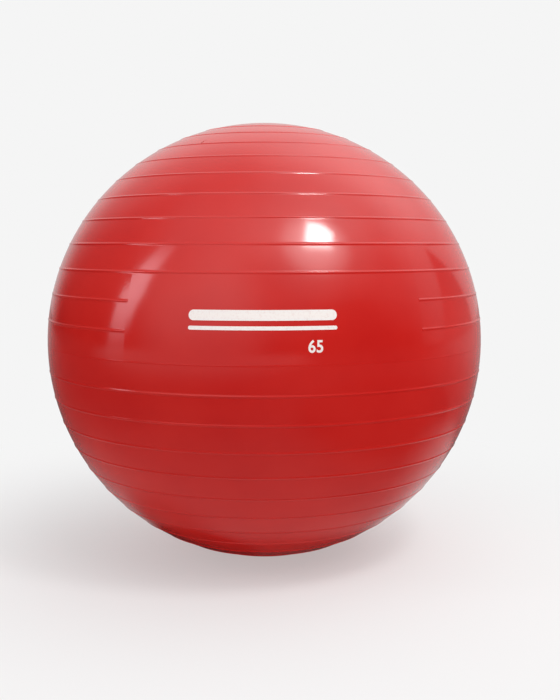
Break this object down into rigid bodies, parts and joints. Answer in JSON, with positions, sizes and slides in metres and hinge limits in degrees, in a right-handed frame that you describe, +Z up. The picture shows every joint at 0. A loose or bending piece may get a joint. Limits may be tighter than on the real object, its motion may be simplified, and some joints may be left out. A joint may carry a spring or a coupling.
{
  "type": "exercise ball",
  "caption": "Large inflatable exercise ball: a thin glossy skin with raised anti-slip ribs, a smooth print panel, and a pull-out plug in a moulded-in valve sleeve.",
  "frame": {"origin": "middle of the flat contact patch that the ball rests on", "axes": "+Z up the mould's axis through the valve, -Y towards the smooth print panel, +X to the right of the panel as seen from in front"},
  "size_m": [0.6498, 0.65, 0.6484],
  "materials": {
    "skin": "gloss",
    "sleeve": "satin",
    "plug": "satin"
  },
  "bodies": {
    "ball": {"shell": "skin", "valve_sleeve": "sleeve"},
    "plug": {"plug": "plug"}
  },
  "joints": [
    {"name": "plug_pull", "type": "slide", "parent": "ball", "child": "plug", "axis": [0, 0, 1], "range_m": [0, 0.04]}
  ]
}
